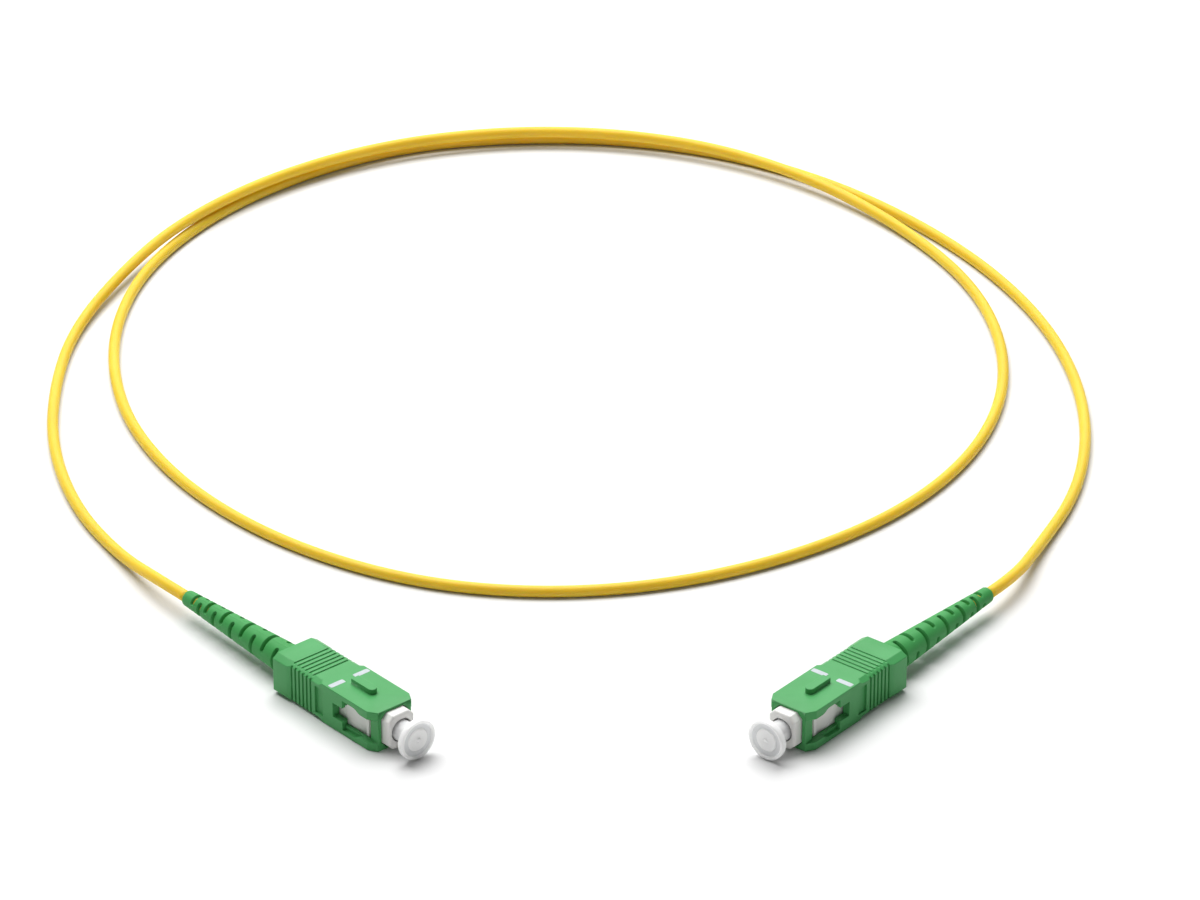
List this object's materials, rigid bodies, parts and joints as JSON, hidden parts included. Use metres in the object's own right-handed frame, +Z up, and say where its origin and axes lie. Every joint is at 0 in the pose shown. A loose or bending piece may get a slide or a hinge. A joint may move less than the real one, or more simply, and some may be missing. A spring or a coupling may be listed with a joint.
{
  "type": "fiber optic patch cord",
  "caption": "Simplex fiber optic patch cord: a thin round jacketed cord laid in a loop, with an angled push-pull plug, slotted boot and clear dust cap at each end.",
  "frame": {"origin": "on the surface that the plugs lie on, under the middle of the box around the two plugs with their boots and caps, without the free cord", "axes": "+X from the left plug towards the right plug, +Y away from the caps towards the cord's loop, +Z up"},
  "size_m": [0.1836, 0.2256, 0.0083],
  "materials": {
    "yellow_jacket": "satin",
    "green_shell": "satin",
    "boot_green": "satin",
    "white_frame": "satin",
    "cap_plastic": "translucent satin",
    "ceramic": "polished",
    "flange_metal": "turned",
    "glass_fibre": "clear",
    "buffer": "matte",
    "spring_steel": "drawn wire",
    "rear_plastic": "turned, nickel plated",
    "yarn": "matte fibres",
    "crimp_metal": "satin"
  },
  "bodies": {
    "cord_and_frames": {"cord": "yellow_jacket", "left_plug_frame": "white_frame", "left_rear_body": "rear_plastic", "left_ferrule_spring": "spring_steel", "left_aramid_yarn": "yarn", "left_crimp_sleeve": "crimp_metal", "left_jacket_end": "yellow_jacket", "left_boot": "boot_green", "right_plug_frame": "white_frame", "right_rear_body": "rear_plastic", "right_ferrule_spring": "spring_steel", "right_aramid_yarn": "yarn", "right_crimp_sleeve": "crimp_metal", "right_jacket_end": "yellow_jacket", "right_boot": "boot_green"},
    "left_grip": {"left_grip_housing": "green_shell"},
    "left_ferrule_set": {"left_ferrule": "ceramic", "left_ferrule_flange": "flange_metal", "left_fibre": "glass_fibre", "left_fibre_buffer": "buffer"},
    "left_cap": {"left_dust_cap": "cap_plastic"},
    "right_grip": {"right_grip_housing": "green_shell"},
    "right_ferrule_set": {"right_ferrule": "ceramic", "right_ferrule_flange": "flange_metal", "right_fibre": "glass_fibre", "right_fibre_buffer": "buffer"},
    "right_cap": {"right_dust_cap": "cap_plastic"}
  },
  "joints": [
    {"name": "left_grip_slide", "type": "slide", "parent": "cord_and_frames", "child": "left_grip", "axis": [0.6561, -0.7547, 0], "range_m": [-0.0008, 0.0008]},
    {"name": "left_ferrule_slide", "type": "slide", "parent": "cord_and_frames", "child": "left_ferrule_set", "axis": [-0.6561, 0.7547, 0], "range_m": [0, 0.0012], "stiffness_N_per_m": 3000, "springref_m": -0.0017, "deforming": ["left_ferrule_spring"]},
    {"name": "left_cap_pull", "type": "slide", "parent": "left_ferrule_set", "child": "left_cap", "axis": [0.6561, -0.7547, 0], "range_m": [0, 0.012]},
    {"name": "right_grip_slide", "type": "slide", "parent": "cord_and_frames", "child": "right_grip", "axis": [-0.632, -0.7749, 0], "range_m": [-0.0008, 0.0008]},
    {"name": "right_ferrule_slide", "type": "slide", "parent": "cord_and_frames", "child": "right_ferrule_set", "axis": [0.632, 0.7749, 0], "range_m": [0, 0.0012], "stiffness_N_per_m": 3000, "springref_m": -0.0017, "deforming": ["right_ferrule_spring"]},
    {"name": "right_cap_pull", "type": "slide", "parent": "right_ferrule_set", "child": "right_cap", "axis": [-0.632, -0.7749, 0], "range_m": [0, 0.012]}
  ]
}
